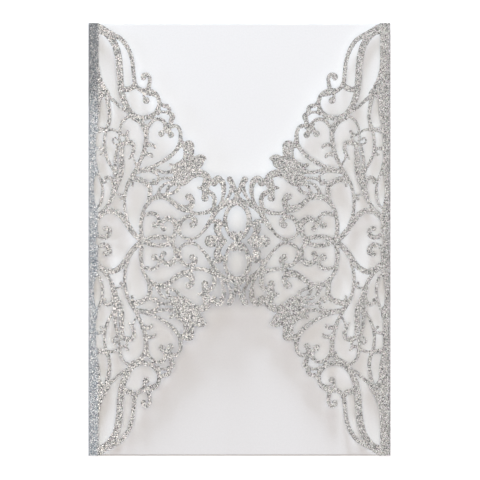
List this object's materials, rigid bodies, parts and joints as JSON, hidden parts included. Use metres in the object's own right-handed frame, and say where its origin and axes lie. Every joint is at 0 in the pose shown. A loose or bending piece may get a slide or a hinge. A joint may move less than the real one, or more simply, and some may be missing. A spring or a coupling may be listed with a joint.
{
  "type": "gatefold invitation",
  "caption": "Laser-cut gatefold invitation: a folded glitter card wrapper with lace gates that meet over a plain pearl insert card.",
  "frame": {"origin": "middle of the back panel's underside, which is the bottom centre of the whole object", "axes": "+X across the card towards the lower gate's fold, +Y up the page along the folds, +Z out of the front; the card lies on its back"},
  "size_m": [0.126, 0.1806, 0.0103],
  "materials": {
    "glitter_card": "silver glitter card: grey board with fine bright flakes, white paper core at the cut edges",
    "pearl_card": "smooth white pearl card with a faint shimmer"
  },
  "bodies": {
    "root": {"gatefold_wrapper": "glitter_card", "insert_card": "pearl_card"}
  },
  "joints": []
}
